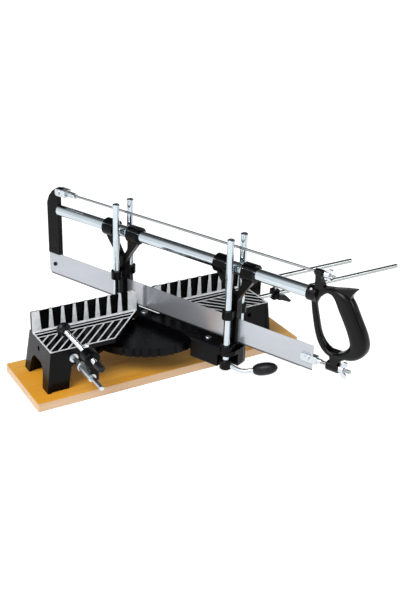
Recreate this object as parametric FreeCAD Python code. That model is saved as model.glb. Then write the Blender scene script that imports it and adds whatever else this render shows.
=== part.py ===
import FreeCAD, Part
import math
import os

V = FreeCAD.Vector
os.makedirs("parts", exist_ok=True)

# Hand mitre saw on a wooden board. All sizes in millimetres.
# Bed frame: origin on the swing axis at the underside of the board, +X along
# the fence to the user's right, +Y to the back, +Z up. The user stands at -Y.
# Arm frame: the same origin, +X along the saw towards the handle, +Y to the
# user's right. Pieces on the arm are drawn in it and then turned into place.

# Board and bed
BOARD_T = 14.0
BOARD_X = (-231.0, 251.0)
BOARD_Y = (-98.0, 44.0)
TABLE_Z = 84.0
TABLE_T = 8.0
TABLE_HALF = 199.0
TABLE_DEPTH = 75.0
TABLE_GAP = 14.7
WALL = 6.0
WALL_BOTTOM = 54.5
FLOOR_Z = (57.0, 63.0)
FOOT_SPREAD = 8.0
FRONT_SPREAD = 2.5
REAR_SPREAD = 10.0
LEG_INNER = (170.5, 165.0)
REAR_Y = 7.0
REAR_WALL_Y = 12.0
REAR_LEG_Y = 4.5

# Fence
FENCE_H = 36.0
FENCE_RIB_FIRST = 45.5
FENCE_RIB_PITCH = 20.2
FENCE_RIBS = 7
FENCE_RIB_TOP = 4.4
FENCE_RIB_FOOT = 9.0
FENCE_INNER_FACE = 31.0
FENCE_OUTER_FACE = 183.5
FENCE_STRIP = 2.5
FENCE_WEB_DROP = 1.5
POCKET_DEPTH = 3.6

# Table pattern
RIB_W = 2.4
RIB_PITCH = 16.15
RIB_COUNT = 10
LINE_Y = (-9.0, -19.0)
RECESS = 1.6

# Sector under the arm
SECTOR_R = 109.0
SECTOR_RIM = 6.0
SECTOR_RIM_Z = 50.0
SECTOR_TOP = 64.0
STOP_ANGLES = (0.0, 15.0, 22.5, 30.0, 36.0, 45.0)

# Swing arm
SWING = 22.5
RUN_FIT = 0.05
ARM_WEB_Z = (64.3, 75.4)
ARM_HALF = 25.0
ARM_NECK = 13.0
ARM_LOW = 46.0
ROD_S = (-46.5, 182.5)
ROD_Y = 17.2
ROD_R = 5.5
ROD_TOP = 262.0
ROD_LOW = 43.5
LUG_R = 9.5
LUG_TOP = 84.0
LUG_LOW = 68.0

# Saw
TUBE_Z = 211.0
TUBE_R = 9.5
TUBE_BORE = 7.8
TUBE_S = (-193.0, 322.0)
SOCKET_S = 311.5
BLADE_S = (-222.0, 328.0)
BLADE_Z = (85.8, 127.0)
BLADE_HALF_T = 0.4
ROD_UP_Z = 245.5
ROD_UP_R = 2.0
PULL_Z = 105.5
PULL_R = 3.0
BRACKET_HALF = 4.5
BRACKET_S = (-219.0, -193.0)
BLADE_SCREW_S = -208.0
CLEVIS_S = -188.5
FORK_PIN_S = 320.5
PULL_ROD_S = (337.0, 391.0)
ROD_UP_S = (-178.0, 352.0)
NUT_UP_S = 336.0
BOSS_S = (353.0, 373.0)

# Carriages
RING_R = 14.5
YOKE_MID = 1.0
RING_IN = 15.5
RING_OUT = 36.5
RING_SPLIT = 37.0
FORK_HALF = 6.0
COLLAR_Z = (131.0, 145.0)
COLLAR_R = 9.0
SLOT_HALF = 1.0
CHEEK_HALF = 6.2
CHEEK_LOW = 86.0

# Clamp, stop
HOLE_X = TABLE_HALF - 37.0
HOLE_Z = 67.8
CLAMP_BAR_R = 3.75
CLAMP_Z = 100.0
CLAMP_HUB_R = 12.5
CLAMP_SLEEVE_R = 6.4
CLAMP_SCREW_R = 4.0
CLAMP_BAR_END = -182.0
STOP_Y = -28.6
STOP_Z = 70.5
STOP_R = 4.0
STOP_X = TABLE_HALF + 46.0
STOP_ROD_END = TABLE_HALF + 328.0
FINGER_END = TABLE_HALF + 213.0
FINGER_Z = 103.0


def box(x0, x1, y0, y1, z0, z1):
    return Part.makeBox(x1 - x0, y1 - y0, z1 - z0, V(x0, y0, z0))


def rod(radius, start, end):
    axis = V(*end) - V(*start)
    return Part.makeCylinder(radius, axis.Length, V(*start), axis)


def face_of(points):
    pts = [V(*p) for p in points]
    return Part.Face(Part.makePolygon(pts + [pts[0]]))


def prism_z(points, z0, z1):
    face = face_of([(x, y, z0) for x, y in points])
    return face.extrude(V(0, 0, z1 - z0))


def rounded(face, convex, concave):
    """Round the outline of a flat face by offsetting it in and out."""
    if convex > 0:
        face = face.makeOffset2D(-convex).makeOffset2D(convex)
    if concave > 0:
        face = face.makeOffset2D(concave).makeOffset2D(-concave)
    return face


def prism_y(points, y0, y1, convex=0.0, concave=0.0):
    """A solid whose side view (x, z) is the outline, from y0 to y1."""
    face = rounded(face_of([(x, y0, z) for x, z in points]), convex, concave)
    return face.extrude(V(0, y1 - y0, 0))


def prism_x(points, x0, x1, convex=0.0, concave=0.0):
    face = rounded(face_of([(x0, y, z) for y, z in points]), convex, concave)
    return face.extrude(V(x1 - x0, 0, 0))


def fuse(shapes):
    out = shapes[0].multiFuse(shapes[1:]) if len(shapes) > 1 else shapes[0]
    return out.removeSplitter()


def mirrored(shape):
    return shape.mirror(V(0, 0, 0), V(1, 0, 0))


def is_ring(edge):
    return isinstance(edge.Curve, Part.Circle) and len(edge.Vertexes) == 1


def fillet_some(shape, pick, radius):
    edges = [e for e in shape.Edges if pick(e)]
    return shape.makeFillet(radius, edges)


def chamfer_some(shape, pick, size):
    edges = [e for e in shape.Edges if pick(e)]
    return shape.makeChamfer(size, edges)


def to_bed(shape):
    out = shape.copy()
    out.rotate(V(0, 0, 0), V(0, 0, 1), SWING - 90.0)
    return out


def save(name, shapes, on_arm=False):
    shapes = shapes if isinstance(shapes, list) else [shapes]
    solids = []
    for shape in shapes:
        solids.extend(shape.Solids)
    solids = [to_bed(s) for s in solids] if on_arm else solids
    out = solids[0] if len(solids) == 1 else Part.makeCompound(solids)
    out.exportStep("parts/" + name + ".step")
    print(name, len(solids), round(sum(s.Volume for s in solids)), all(s.isValid() for s in solids))


def board():
    slab = box(BOARD_X[0], BOARD_X[1], BOARD_Y[0], BOARD_Y[1], 0, BOARD_T)
    return slab.makeFillet(2.0, [e for e in slab.Edges if abs(e.tangentAt(0).z) > 0.9])


def table_outline(inset):
    """Plan of the right table, set in from the edges; its inner edge runs at 45 degrees."""
    inner = TABLE_GAP + inset * math.sqrt(2)
    front = -TABLE_DEPTH + inset
    return [(inner + inset, -inset), (inner - front, front), (TABLE_HALF - inset, front),
            (TABLE_HALF - inset, -inset)]


def table_recesses():
    """The low areas between the thin ground ribs of the right table."""
    z = TABLE_Z - RECESS
    outline = table_outline(RIB_W)
    x1, front = outline[2]
    outline[2:3] = [(x1 - RIB_W, front), (x1, front + RIB_W)]
    area = prism_z(outline, z, TABLE_Z + 1.0)
    ribs = []
    for y in LINE_Y:
        ribs.append(box(0, TABLE_HALF, y - RIB_W / 2, y + RIB_W / 2, z - 1, z + 4))
    reach = TABLE_DEPTH * 2
    for k in range(1, RIB_COUNT + 1):
        start = TABLE_GAP + RIB_PITCH * k
        bar = box(0, reach, -RIB_W / 2, RIB_W / 2, z - 1, z + 4)
        bar.rotate(V(0, 0, 0), V(0, 0, 1), -45.0)
        bar.translate(V(start, 0, 0))
        ribs.append(bar.common(box(0, TABLE_HALF, -TABLE_DEPTH, LINE_Y[1], z - 1, z + 4)))
    return area.cut(ribs)


def end_wall():
    """Right end wall: leans out to the foot, with an arch between its legs."""
    below = BOARD_T - 8
    arch = [(REAR_LEG_Y - 0.5, below), (-5.0, 44.0), (-14.0, 52.0), (-42.0, 52.0), (-51.0, 44.0), (-56.0, below)]
    outline = [(-TABLE_DEPTH, TABLE_Z + 8), (REAR_WALL_Y, TABLE_Z + 8), (REAR_WALL_Y + REAR_SPREAD, below)]
    outline = outline + arch + [(-TABLE_DEPTH - FRONT_SPREAD, below)]
    wall = prism_x(outline, TABLE_HALF - WALL, TABLE_HALF, 0, 6.0)
    lean = math.degrees(math.atan2(FOOT_SPREAD, TABLE_Z - BOARD_T))
    wall.rotate(V(TABLE_HALF, 0, TABLE_Z), V(0, 1, 0), -lean)
    return wall.common(box(100, TABLE_HALF + 100, -200, 200, BOARD_T, TABLE_Z))


def long_wall(y0, y1, inner):
    """Front or rear wall of the right half, with its leg at the outer end."""
    foot = TABLE_HALF + FOOT_SPREAD
    outline = [(inner, TABLE_Z - 1), (TABLE_HALF, TABLE_Z - 1), (foot - 0.5, BOARD_T),
               (LEG_INNER[0], BOARD_T), (LEG_INNER[1], WALL_BOTTOM), (inner, WALL_BOTTOM)]
    return prism_y(outline, y0, y1, 0, 6.0)


def fence():
    """Right fence: a wall with tapered ribs standing between low pockets."""
    top = TABLE_Z + FENCE_H
    outline = [(TABLE_GAP, TABLE_Z - 2), (TABLE_HALF, TABLE_Z - 2), (TABLE_HALF, top),
               (TABLE_GAP + 5, top), (TABLE_GAP + 1.5, top - 1.5), (TABLE_GAP, top - 5)]
    wall = prism_y(outline, 0, REAR_Y)
    edges = [(FENCE_INNER_FACE, FENCE_INNER_FACE)]
    for k in range(FENCE_RIBS):
        c = FENCE_RIB_FIRST + FENCE_RIB_PITCH * k
        edges.append((c - FENCE_RIB_FOOT / 2, c - FENCE_RIB_TOP / 2))
        edges.append((c + FENCE_RIB_FOOT / 2, c + FENCE_RIB_TOP / 2))
    edges.append((FENCE_OUTER_FACE, FENCE_OUTER_FACE + 2.5))
    pockets = []
    for k in range(FENCE_RIBS + 1):
        a = edges[2 * k]
        b = edges[2 * k + 1]
        low = TABLE_Z + FENCE_STRIP
        outline = [(a[0], low), (b[0], low), (b[1], top + 1), (a[1], top + 1)]
        pockets.append(prism_y(outline, -1, POCKET_DEPTH))
        pockets.append(box(a[1], b[1], -1, REAR_Y + 1, top - FENCE_WEB_DROP, top + 1))
    slope = prism_x([(POCKET_DEPTH, top + 0.1), (REAR_Y + 0.1, top + 0.1), (REAR_Y + 0.1, top - 4.0)],
                    0, TABLE_HALF + 1)
    return wall.cut(pockets + [slope])


def sector():
    """The round plate that carries the arm, with its rim and angle notches."""
    plate = rod(SECTOR_R, (0, 0, SECTOR_TOP - WALL), (0, 0, SECTOR_TOP))
    rim = rod(SECTOR_R, (0, 0, SECTOR_RIM_Z), (0, 0, SECTOR_TOP))
    rim = rim.cut(rod(SECTOR_R - SECTOR_RIM, (0, 0, SECTOR_RIM_Z - 1), (0, 0, SECTOR_TOP + 1)))
    front = box(-SECTOR_R, SECTOR_R, -SECTOR_R, REAR_Y, SECTOR_RIM_Z - 1, SECTOR_TOP + 1)
    plate = plate.fuse(rim).common(front)
    notches = []
    for angle in sorted(set(STOP_ANGLES + tuple(-a for a in STOP_ANGLES))):
        turn = math.radians(angle)
        x = SECTOR_R * math.sin(turn)
        y = -SECTOR_R * math.cos(turn)
        notches.append(rod(2.0, (x, y, SECTOR_RIM_Z - 1), (x, y, SECTOR_TOP + 1)))
    return plate.cut(notches)


def arm_sweep():
    """Room for the deep outer half of the arm as it swings."""
    ring = rod(230.0, (0, 0, 40), (0, 0, TABLE_Z - TABLE_T))
    ring = ring.cut(rod(SECTOR_R + 1.5, (0, 0, 39), (0, 0, TABLE_Z)))
    reach = 400.0
    wide = math.radians(60.0)
    wedge = prism_z([(0, 0), (-reach * math.sin(wide), -reach * math.cos(wide)), (0, -reach * 2),
                     (reach * math.sin(wide), -reach * math.cos(wide))], 39, TABLE_Z)
    return ring.common(wedge)


def bed_half():
    low = TABLE_Z - TABLE_T
    plan = [(x, y, low) for x, y in table_outline(0)[:3]]
    plate = rounded(face_of(plan + [(TABLE_HALF, REAR_Y, low), (TABLE_GAP, REAR_Y, low)]), 3.0, 0)
    plate = plate.extrude(V(0, 0, TABLE_T))
    floor = box(60, TABLE_HALF - 2, -TABLE_DEPTH, REAR_LEG_Y + WALL, FLOOR_Z[0], FLOOR_Z[1])
    walls = [end_wall(), long_wall(-TABLE_DEPTH, -TABLE_DEPTH + WALL, 100.0),
             long_wall(REAR_LEG_Y, REAR_LEG_Y + WALL, 70.0)]
    half = fuse([plate, floor, fence()] + walls)
    half = half.cut(table_recesses())
    front = -TABLE_DEPTH
    hole = rod(CLAMP_BAR_R + RUN_FIT, (HOLE_X, front - 5, HOLE_Z), (HOLE_X, front + WALL + 5, HOLE_Z))
    side = rod(STOP_R + RUN_FIT, (TABLE_HALF - 20, STOP_Y, STOP_Z), (TABLE_HALF + 20, STOP_Y, STOP_Z))
    return half.cut([hole, side])


def bed_casting():
    half = bed_half()
    whole = fuse([half, mirrored(half), sector()])
    pivot_hole = rod(4.0 + RUN_FIT, (0, 0, SECTOR_RIM_Z), (0, 0, TABLE_Z))
    return whole.cut([arm_sweep(), pivot_hole])


def pivot_screw():
    shank = rod(4.0, (0, 0, SECTOR_TOP - WALL), (0, 0, ARM_WEB_Z[1] + 1))
    head = rod(5.8, (0, 0, ARM_WEB_Z[1] + 0.2), (0, 0, ARM_WEB_Z[1] + 2.6))
    head = chamfer_some(head, lambda e: e.CenterOfMass.z > ARM_WEB_Z[1] + 2.5, 0.7)
    return fuse([shank, head])


def clamp_bar():
    """Steel bar in the left front hole, with a collar against the wall."""
    x = -HOLE_X
    front = -TABLE_DEPTH
    bar = rod(CLAMP_BAR_R, (x, front + WALL + 8, HOLE_Z), (x, CLAMP_BAR_END, HOLE_Z))
    flange = rod(7.2, (x, front, HOLE_Z), (x, front - 3.5, HOLE_Z))
    body = fuse([bar, flange])
    return chamfer_some(body, lambda e: e.CenterOfMass.y < CLAMP_BAR_END + 0.1, 1.0)


def stop_rod():
    bar = rod(STOP_R, (TABLE_HALF - 18, STOP_Y, STOP_Z), (STOP_ROD_END, STOP_Y, STOP_Z))
    return chamfer_some(bar, lambda e: e.CenterOfMass.x > STOP_ROD_END - 0.1, 1.0)


def stop_bracket(bed):
    """Small upright on the right end of the bed, mostly hidden in the photo."""
    x0 = TABLE_HALF + 2.3
    web = prism_y([(TABLE_HALF - 1.0, 66.0), (x0 + 24.7, 66.0), (x0 + 24.7, 104.0), (x0, 104.0),
                   (x0, TABLE_Z), (TABLE_HALF - 1.0, TABLE_Z)], -12.0, -6.0)
    back = box(x0, x0 + 22.7, -6.0, 4.0, 66.0, 104.0)
    lip = box(x0, x0 + 34.7, -12.0, 4.0, 100.0, 104.0)
    return fuse([web, back, lip]).cut(bed)


def arm_plan():
    """Plan of the arm web: crossbar, slim neck, then the wide outer half."""
    deep = SECTOR_R + 3.0
    side = [(-60.0, 18.0), (-56.0, 27.0), (-37.0, 27.0), (-24.0, ARM_NECK), (deep - 28, ARM_NECK),
            (deep, 20.0), (deep + 6, ARM_HALF), (ROD_S[1] + 9.5, ARM_HALF)]
    return [(s, -y) for s, y in side] + list(reversed(side))


def arm_casting():
    """The swing arm with the four rod lugs and the open corner for the lever."""
    z0, z1 = ARM_WEB_Z
    web = rounded(face_of([(x, y, z0) for x, y in arm_plan()]), 4.0, 8.0).extrude(V(0, 0, z1 - z0))
    start = SECTOR_R + 3.0
    end = ROD_S[1] + 13.5
    outer = [(start, -16.0), (start + 6, -ARM_HALF), (end - 6, -ARM_HALF), (end, -12.0), (end, 12.0),
             (end - 6, ARM_HALF), (start + 6, ARM_HALF), (start, 16.0)]
    deep = rounded(face_of([(x, y, ARM_LOW) for x, y in outer]), 4.0, 0).extrude(V(0, 0, z1 - ARM_LOW))
    hollow = box(start + 10, ROD_S[1] - 17, -ARM_HALF + 5, ARM_HALF - 5, ARM_LOW - 1, z0)
    deep = deep.cut(hollow)
    lugs = []
    for s in ROD_S:
        for side in (-1, 1):
            base = z0 if s < 0 else LUG_LOW
            lugs.append(rod(LUG_R, (s, side * ROD_Y, base), (s, side * ROD_Y, LUG_TOP)))
    cross = box(ROD_S[1] - 7, ROD_S[1] + 7, -ROD_Y, ROD_Y, z1 - 2, LUG_TOP - 1.5)
    nose = rod(LUG_R + 2.0, (ROD_S[1], ROD_Y, ROD_LOW + 1), (ROD_S[1], ROD_Y, z1))
    body = fuse([web, deep, nose, cross] + lugs)
    corner = box(ROD_S[1] - 11.0, ROD_S[1] + 28, -40.0, -3.0, ARM_LOW - 10, LUG_LOW)
    kerf = box(ROD_S[1] - 20, ROD_S[1] + 30, -1.6, 1.6, z1 - 1.0, LUG_TOP + 5)
    cuts = [corner, kerf, rod(4.0 + RUN_FIT, (0, 0, 50), (0, 0, 90))]
    for s in ROD_S:
        for side in (-1, 1):
            cuts.append(rod(ROD_R, (s, side * ROD_Y, ROD_LOW - 5), (s, side * ROD_Y, LUG_TOP + 5)))
    return body.cut(cuts)


def guide_rods(s, low):
    rods = []
    for side in (-1, 1):
        bar = rod(ROD_R, (s, side * ROD_Y, low), (s, side * ROD_Y, ROD_TOP - 4.0))
        rods.append(bar)
    return rods


def rod_caps():
    """Round slotted caps on the four rod tops."""
    caps = []
    for s in ROD_S:
        for side in (-1, 1):
            y = side * ROD_Y
            cap = rod(ROD_R + 0.4, (s, y, ROD_TOP - 4.0), (s, y, ROD_TOP))
            cap = chamfer_some(cap, lambda e: e.CenterOfMass.z > ROD_TOP - 0.1, 0.8)
            cap = cap.cut(box(s - 10, s + 10, y - 0.8, y + 0.8, ROD_TOP - 1.4, ROD_TOP + 1))
            caps.append(cap)
    return caps


def arm_screw():
    head = rod(4.6, (136.0, -2.0, ARM_WEB_Z[1]), (136.0, -2.0, ARM_WEB_Z[1] + 2.2))
    return chamfer_some(head, lambda e: e.CenterOfMass.z > ARM_WEB_Z[1] + 2.1, 0.7)


def lever_hub():
    """Round hub of the index lever on the foot of the near front rod."""
    s = ROD_S[1]
    y = -ROD_Y
    hub = rod(LUG_R, (s, y, ROD_LOW), (s, y, 59.0))
    hub = chamfer_some(hub, is_ring, 1.2)
    return hub.cut(rod(ROD_R + RUN_FIT, (s, y, ROD_LOW - 1), (s, y, 60.0)))


def lever_path():
    s = ROD_S[1]
    return [V(s + 7.0, -ROD_Y + 2.0, 50.0), V(s + 14.0, -ROD_Y + 4.4, 47.0), V(s + 25.0, -9.0, 44.0),
            V(s + 34.0, -4.5, 45.0), V(s + 43.0, -0.5, 48.0)]


def lever_rod():
    curve = Part.BSplineCurve()
    curve.interpolate(lever_path())
    spine = Part.Wire(curve.toShape())
    start = curve.value(curve.FirstParameter)
    tangent = curve.tangent(curve.FirstParameter)[0]
    ring = Part.Wire(Part.makeCircle(3.6, start, tangent))
    bar = spine.makePipeShell([ring], True, True)
    hub = rod(LUG_R, (ROD_S[1], -ROD_Y, ROD_LOW), (ROD_S[1], -ROD_Y, 59.0))
    return bar.cut([hub, lever_grip()])


def lever_grip():
    """Oval grip, turned and pushed over the lever's end."""
    path = lever_path()
    start = path[-1]
    axis = (path[-1] - path[-2]).normalize()
    shape = [(0, 0), (0, 6.0), (6.0, 9.0), (16.0, 10.2), (27.0, 9.2), (35.0, 6.0), (39.0, 0)]
    side = [V(x, 0, z) for x, z in shape[1:]]
    curve = Part.BSplineCurve()
    curve.interpolate(side)
    root = Part.makeLine(V(0, 0, 0), side[0])
    middle = Part.makeLine(side[-1], V(0, 0, 0))
    outline = Part.Wire([root, curve.toShape(), middle])
    grip = Part.Face(outline).revolve(V(0, 0, 0), V(1, 0, 0), 360)
    turn = FreeCAD.Rotation(V(1, 0, 0), axis)
    grip.Placement = FreeCAD.Placement(start, turn)
    return grip


def fork_outline():
    """Side view of the fork: two arms that part above a narrow post."""
    outer = [(33.5, TUBE_Z - 9), (33.0, 197.0), (28.0, 189.5), (18.5, 176.5), (10.5, 164.3), (8.4, 158.0),
             (8.4, 146.0)]
    inner = [(0, 162.5), (13.0, 184.0), (14.0, 196.0), (14.0, TUBE_Z - 9)]
    right = [(YOKE_MID + x, z) for x, z in inner + outer]
    left = [(YOKE_MID - x, z) for x, z in reversed(inner[1:] + outer)]
    return right + left


def yoke(s):
    """Forked carriage: two split rings on the tube, two collars on the rods."""
    mid = YOKE_MID
    ring1 = rod(RING_R, (mid - RING_OUT, 0, TUBE_Z), (mid - RING_IN, 0, TUBE_Z))
    ring2 = rod(RING_R, (mid + RING_IN, 0, TUBE_Z), (mid + RING_OUT, 0, TUBE_Z))
    fork = prism_y(fork_outline(), -FORK_HALF, FORK_HALF, 1.5, 6.0)
    post = prism_y([(mid - 8.4, CHEEK_LOW), (mid + 8.4, CHEEK_LOW), (mid + 8.4, 150.0), (mid - 8.4, 150.0)],
                   -CHEEK_HALF, CHEEK_HALF, 1.5, 0)
    low, high = COLLAR_Z
    parts = [ring1, ring2, fork, post, box(mid - 6, mid + 6, -ROD_Y, ROD_Y, low + 1.5, high - 1.5)]
    for side in (-1, 1):
        parts.append(rod(COLLAR_R, (0, side * ROD_Y, low), (0, side * ROD_Y, high)))
    body = fuse(parts)
    split = box(-60, 60, -RING_R - 2, -TUBE_R + 1, -0.6, 0.6)
    split.rotate(V(0, 0, 0), V(1, 0, 0), -RING_SPLIT)
    split.translate(V(0, 0, TUBE_Z))
    cuts = [rod(TUBE_R + RUN_FIT, (-60, 0, TUBE_Z), (60, 0, TUBE_Z)), split,
            box(-20, 20, -SLOT_HALF, SLOT_HALF, CHEEK_LOW - 5, BLADE_Z[1] + 2.0)]
    for side in (-1, 1):
        cuts.append(rod(ROD_R + RUN_FIT, (0, side * ROD_Y, low - 9), (0, side * ROD_Y, high + 9)))
    body = body.cut(cuts)
    body.translate(V(s, 0, 0))
    return body


def tube():
    outer = rod(TUBE_R, (TUBE_S[0], 0, TUBE_Z), (TUBE_S[1], 0, TUBE_Z))
    return outer.cut(rod(TUBE_BORE, (TUBE_S[0] - 1, 0, TUBE_Z), (TUBE_S[1] + 1, 0, TUBE_Z)))


def rear_bracket():
    """Flat rear end of the frame: plugged into the tube, halved at the blade."""
    s0, s1 = BRACKET_S
    outline = [(s0, 90.0), (s1, 90.0), (s1, 236.0), (s1 + 4.5, 242.0), (s1 + 5.0, 251.0), (s1 - 2.0, 252.0),
               (s0 + 13.0, 244.0), (s0 + 5.0, 234.0), (s0, 221.0)]
    bar = prism_y(outline, -BRACKET_HALF, BRACKET_HALF, 1.2, 3.0)
    bar = bar.cut(box(s0 - 5, s1 + 5, -BRACKET_HALF - 1, BLADE_HALF_T, 80.0, BLADE_Z[1] + 0.3))
    plug = rod(TUBE_BORE - 0.05, (s1 - 3, 0, TUBE_Z), (s1 + 26, 0, TUBE_Z))
    body = fuse([bar, plug])
    return body.cut([rod(2.5, (CLEVIS_S, -20, ROD_UP_Z), (CLEVIS_S, 20, ROD_UP_Z)),
                     rod(2.0, (BLADE_SCREW_S, -20, PULL_Z), (BLADE_SCREW_S, 20, PULL_Z))])


def blade():
    s0, s1 = BLADE_S
    z0, z1 = BLADE_Z
    outline = [(s0, z0 + 5), (s0 + 4, z0), (s1, z0), (s1, z1), (s0, z1)]
    body = prism_y(outline, -BLADE_HALF_T, BLADE_HALF_T)
    return body.cut([rod(2.0, (BLADE_SCREW_S, -5, PULL_Z), (BLADE_SCREW_S, 5, PULL_Z)),
                     rod(2.5, (FORK_PIN_S, -5, PULL_Z), (FORK_PIN_S, 5, PULL_Z))])


def blade_screw():
    shank = rod(2.0, (BLADE_SCREW_S, -BLADE_HALF_T, PULL_Z), (BLADE_SCREW_S, BRACKET_HALF, PULL_Z))
    head = rod(3.4, (BLADE_SCREW_S, -BLADE_HALF_T, PULL_Z), (BLADE_SCREW_S, -BLADE_HALF_T - 2.0, PULL_Z))
    nut = rod(3.6, (BLADE_SCREW_S, BRACKET_HALF, PULL_Z), (BLADE_SCREW_S, BRACKET_HALF + 2.6, PULL_Z))
    return fuse([shank, head, nut])


def upper_clevis():
    """Forked end of the tension rod on the rear bracket, with its lock nut."""
    cheeks = box(-195.5, -172.0, -8.0, 8.0, ROD_UP_Z - 6.0, ROD_UP_Z + 6.0)
    cheeks = cheeks.cut(box(-200.0, -181.0, -BRACKET_HALF, BRACKET_HALF, ROD_UP_Z - 10, ROD_UP_Z + 10))
    neck = rod(5.0, (-173.0, 0, ROD_UP_Z), (-160.0, 0, ROD_UP_Z))
    body = fuse([cheeks, neck])
    body = fillet_some(body, lambda e: abs(e.CenterOfMass.x + 195.5) < 0.1 and e.Length > 3.4
                       and abs(e.tangentAt(e.FirstParameter).y) > 0.9, 4.0)
    return body.cut([rod(2.5, (CLEVIS_S, -20, ROD_UP_Z), (CLEVIS_S, 20, ROD_UP_Z)),
                     rod(ROD_UP_R, (ROD_UP_S[0], 0, ROD_UP_Z), (-150.0, 0, ROD_UP_Z))])


def clevis_pin():
    shank = rod(2.5, (CLEVIS_S, -8.0, ROD_UP_Z), (CLEVIS_S, 8.0, ROD_UP_Z))
    head = rod(3.8, (CLEVIS_S, -8.0, ROD_UP_Z), (CLEVIS_S, -10.0, ROD_UP_Z))
    tail = rod(3.8, (CLEVIS_S, 8.0, ROD_UP_Z), (CLEVIS_S, 9.6, ROD_UP_Z))
    return fuse([shank, head, tail])


def hex_nut(s0, s1, flats, z, bore):
    radius = flats / math.sqrt(3)
    pts = []
    for k in range(6):
        a = math.radians(60 * k + 30)
        pts.append((s0, radius * math.cos(a), z + radius * math.sin(a)))
    nut = face_of(pts).extrude(V(s1 - s0, 0, 0))
    return nut.cut(rod(bore, (s0 - 1, 0, z), (s1 + 1, 0, z)))


def tension_rod():
    return rod(ROD_UP_R, (ROD_UP_S[0], 0, ROD_UP_Z), (ROD_UP_S[1], 0, ROD_UP_Z))


def wing_nut(s0, z, bore, span, tilt=0.0):
    """Wing nut on a rod along the saw, its wings standing up and down."""
    base = Part.makeCone(5.6, 4.6, 7.0, V(s0, 0, z), V(1, 0, 0))
    outline = [(s0 + 1.0, z), (s0 + 1.0, z + 5.5), (s0 + 5.5, z + span / 2), (s0 + 11.5, z + span / 2),
               (s0 + 11.0, z + 7.0), (s0 + 6.5, z + 4.0), (s0 + 6.5, z)]
    wing = prism_y(outline, -1.6, 1.6, 1.2, 1.2)
    other = wing.copy()
    other.rotate(V(s0, 0, z), V(1, 0, 0), 180)
    body = fuse([base, wing, other]).cut(rod(bore, (s0 - 1, 0, z), (s0 + 20, 0, z)))
    body.rotate(V(s0, 0, z), V(1, 0, 0), tilt)
    return body


def pull_fork():
    """Forked pull on the blade's front end."""
    cheeks = box(308.5, 336.0, -4.4, 4.4, PULL_Z - 6.0, PULL_Z + 6.0)
    cheeks = cheeks.cut(box(300.0, 329.0, -BLADE_HALF_T, BLADE_HALF_T, PULL_Z - 10, PULL_Z + 10))
    neck = rod(4.0, (335.0, 0, PULL_Z), (343.0, 0, PULL_Z))
    body = fuse([cheeks, neck])
    body = fillet_some(body, lambda e: abs(e.CenterOfMass.x - 308.5) < 0.1 and e.Length > 3.0
                       and abs(e.tangentAt(e.FirstParameter).y) > 0.9, 4.0)
    return body.cut([rod(2.5, (FORK_PIN_S, -20, PULL_Z), (FORK_PIN_S, 20, PULL_Z)),
                     rod(PULL_R, (PULL_ROD_S[0], 0, PULL_Z), (PULL_ROD_S[0] + 13, 0, PULL_Z))])


def pull_pin():
    shank = rod(2.5, (FORK_PIN_S, -4.4, PULL_Z), (FORK_PIN_S, 4.4, PULL_Z))
    head = rod(3.6, (FORK_PIN_S, -4.4, PULL_Z), (FORK_PIN_S, -6.2, PULL_Z))
    tail = rod(3.6, (FORK_PIN_S, 4.4, PULL_Z), (FORK_PIN_S, 6.0, PULL_Z))
    return fuse([shank, head, tail])


def pull_rod():
    return rod(PULL_R, (PULL_ROD_S[0], 0, PULL_Z), (PULL_ROD_S[1], 0, PULL_Z))


# Stations round the D of the handle: centre (s, z), half width, half thickness.
GRIP_LOOP = [
    (323.0, 195.4, 4.4, 5.5), (325.2, 184.2, 4.3, 5.5), (329.0, 168.9, 4.7, 5.5),
    (333.2, 154.5, 4.7, 5.8), (339.4, 141.5, 5.1, 6.5), (350.0, 130.5, 5.2, 8.0),
    (364.0, 126.6, 4.9, 8.8), (381.0, 131.0, 6.6, 10.5), (395.0, 140.0, 11.4, 12.0),
    (401.2, 152.7, 13.9, 13.0), (397.6, 167.0, 13.7, 13.0), (388.6, 184.5, 13.3, 12.5),
    (380.6, 198.5, 13.4, 12.5), (373.0, 210.6, 13.4, 11.5), (361.5, 220.6, 9.5, 9.5),
    (349.0, 223.6, 5.2, 7.0), (338.6, 221.0, 4.8, 6.0), (328.2, 211.5, 4.8, 5.8)]
LOOP_SPLIT = 6


def loop_section(centre, normal, half_w, half_t):
    """Closed oval in the plane of the normal and the Y axis."""
    pts = []
    power = 2.0 / 2.5
    for k in range(16):
        a = 2 * math.pi * k / 16
        c = math.cos(a)
        d = math.sin(a)
        u = half_w * math.copysign(abs(c) ** power, c)
        v = half_t * math.copysign(abs(d) ** power, d)
        pts.append(centre + normal * u + V(0, v, 0))
    curve = Part.BSplineCurve()
    curve.interpolate(pts, PeriodicFlag=True)
    return Part.Wire(curve.toShape())


def grip_wire(k):
    n = len(GRIP_LOOP)
    s, z, half_w, half_t = GRIP_LOOP[k % n]
    before = GRIP_LOOP[(k - 1) % n]
    after = GRIP_LOOP[(k + 1) % n]
    tangent = V(after[0] - before[0], 0, after[1] - before[1]).normalize()
    normal = V(tangent.z, 0, -tangent.x)
    return loop_section(V(s, 0, z), normal, half_w, half_t)


def grip_loop():
    """The closed D as a front and a rear loft that share their end sections."""
    n = len(GRIP_LOOP)
    front = Part.makeLoft([grip_wire(k) for k in range(n - 1, n + LOOP_SPLIT + 1)], True, False)
    rear = Part.makeLoft([grip_wire(k) for k in range(LOOP_SPLIT, n)], True, False)
    return front.fuse(rear)


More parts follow.
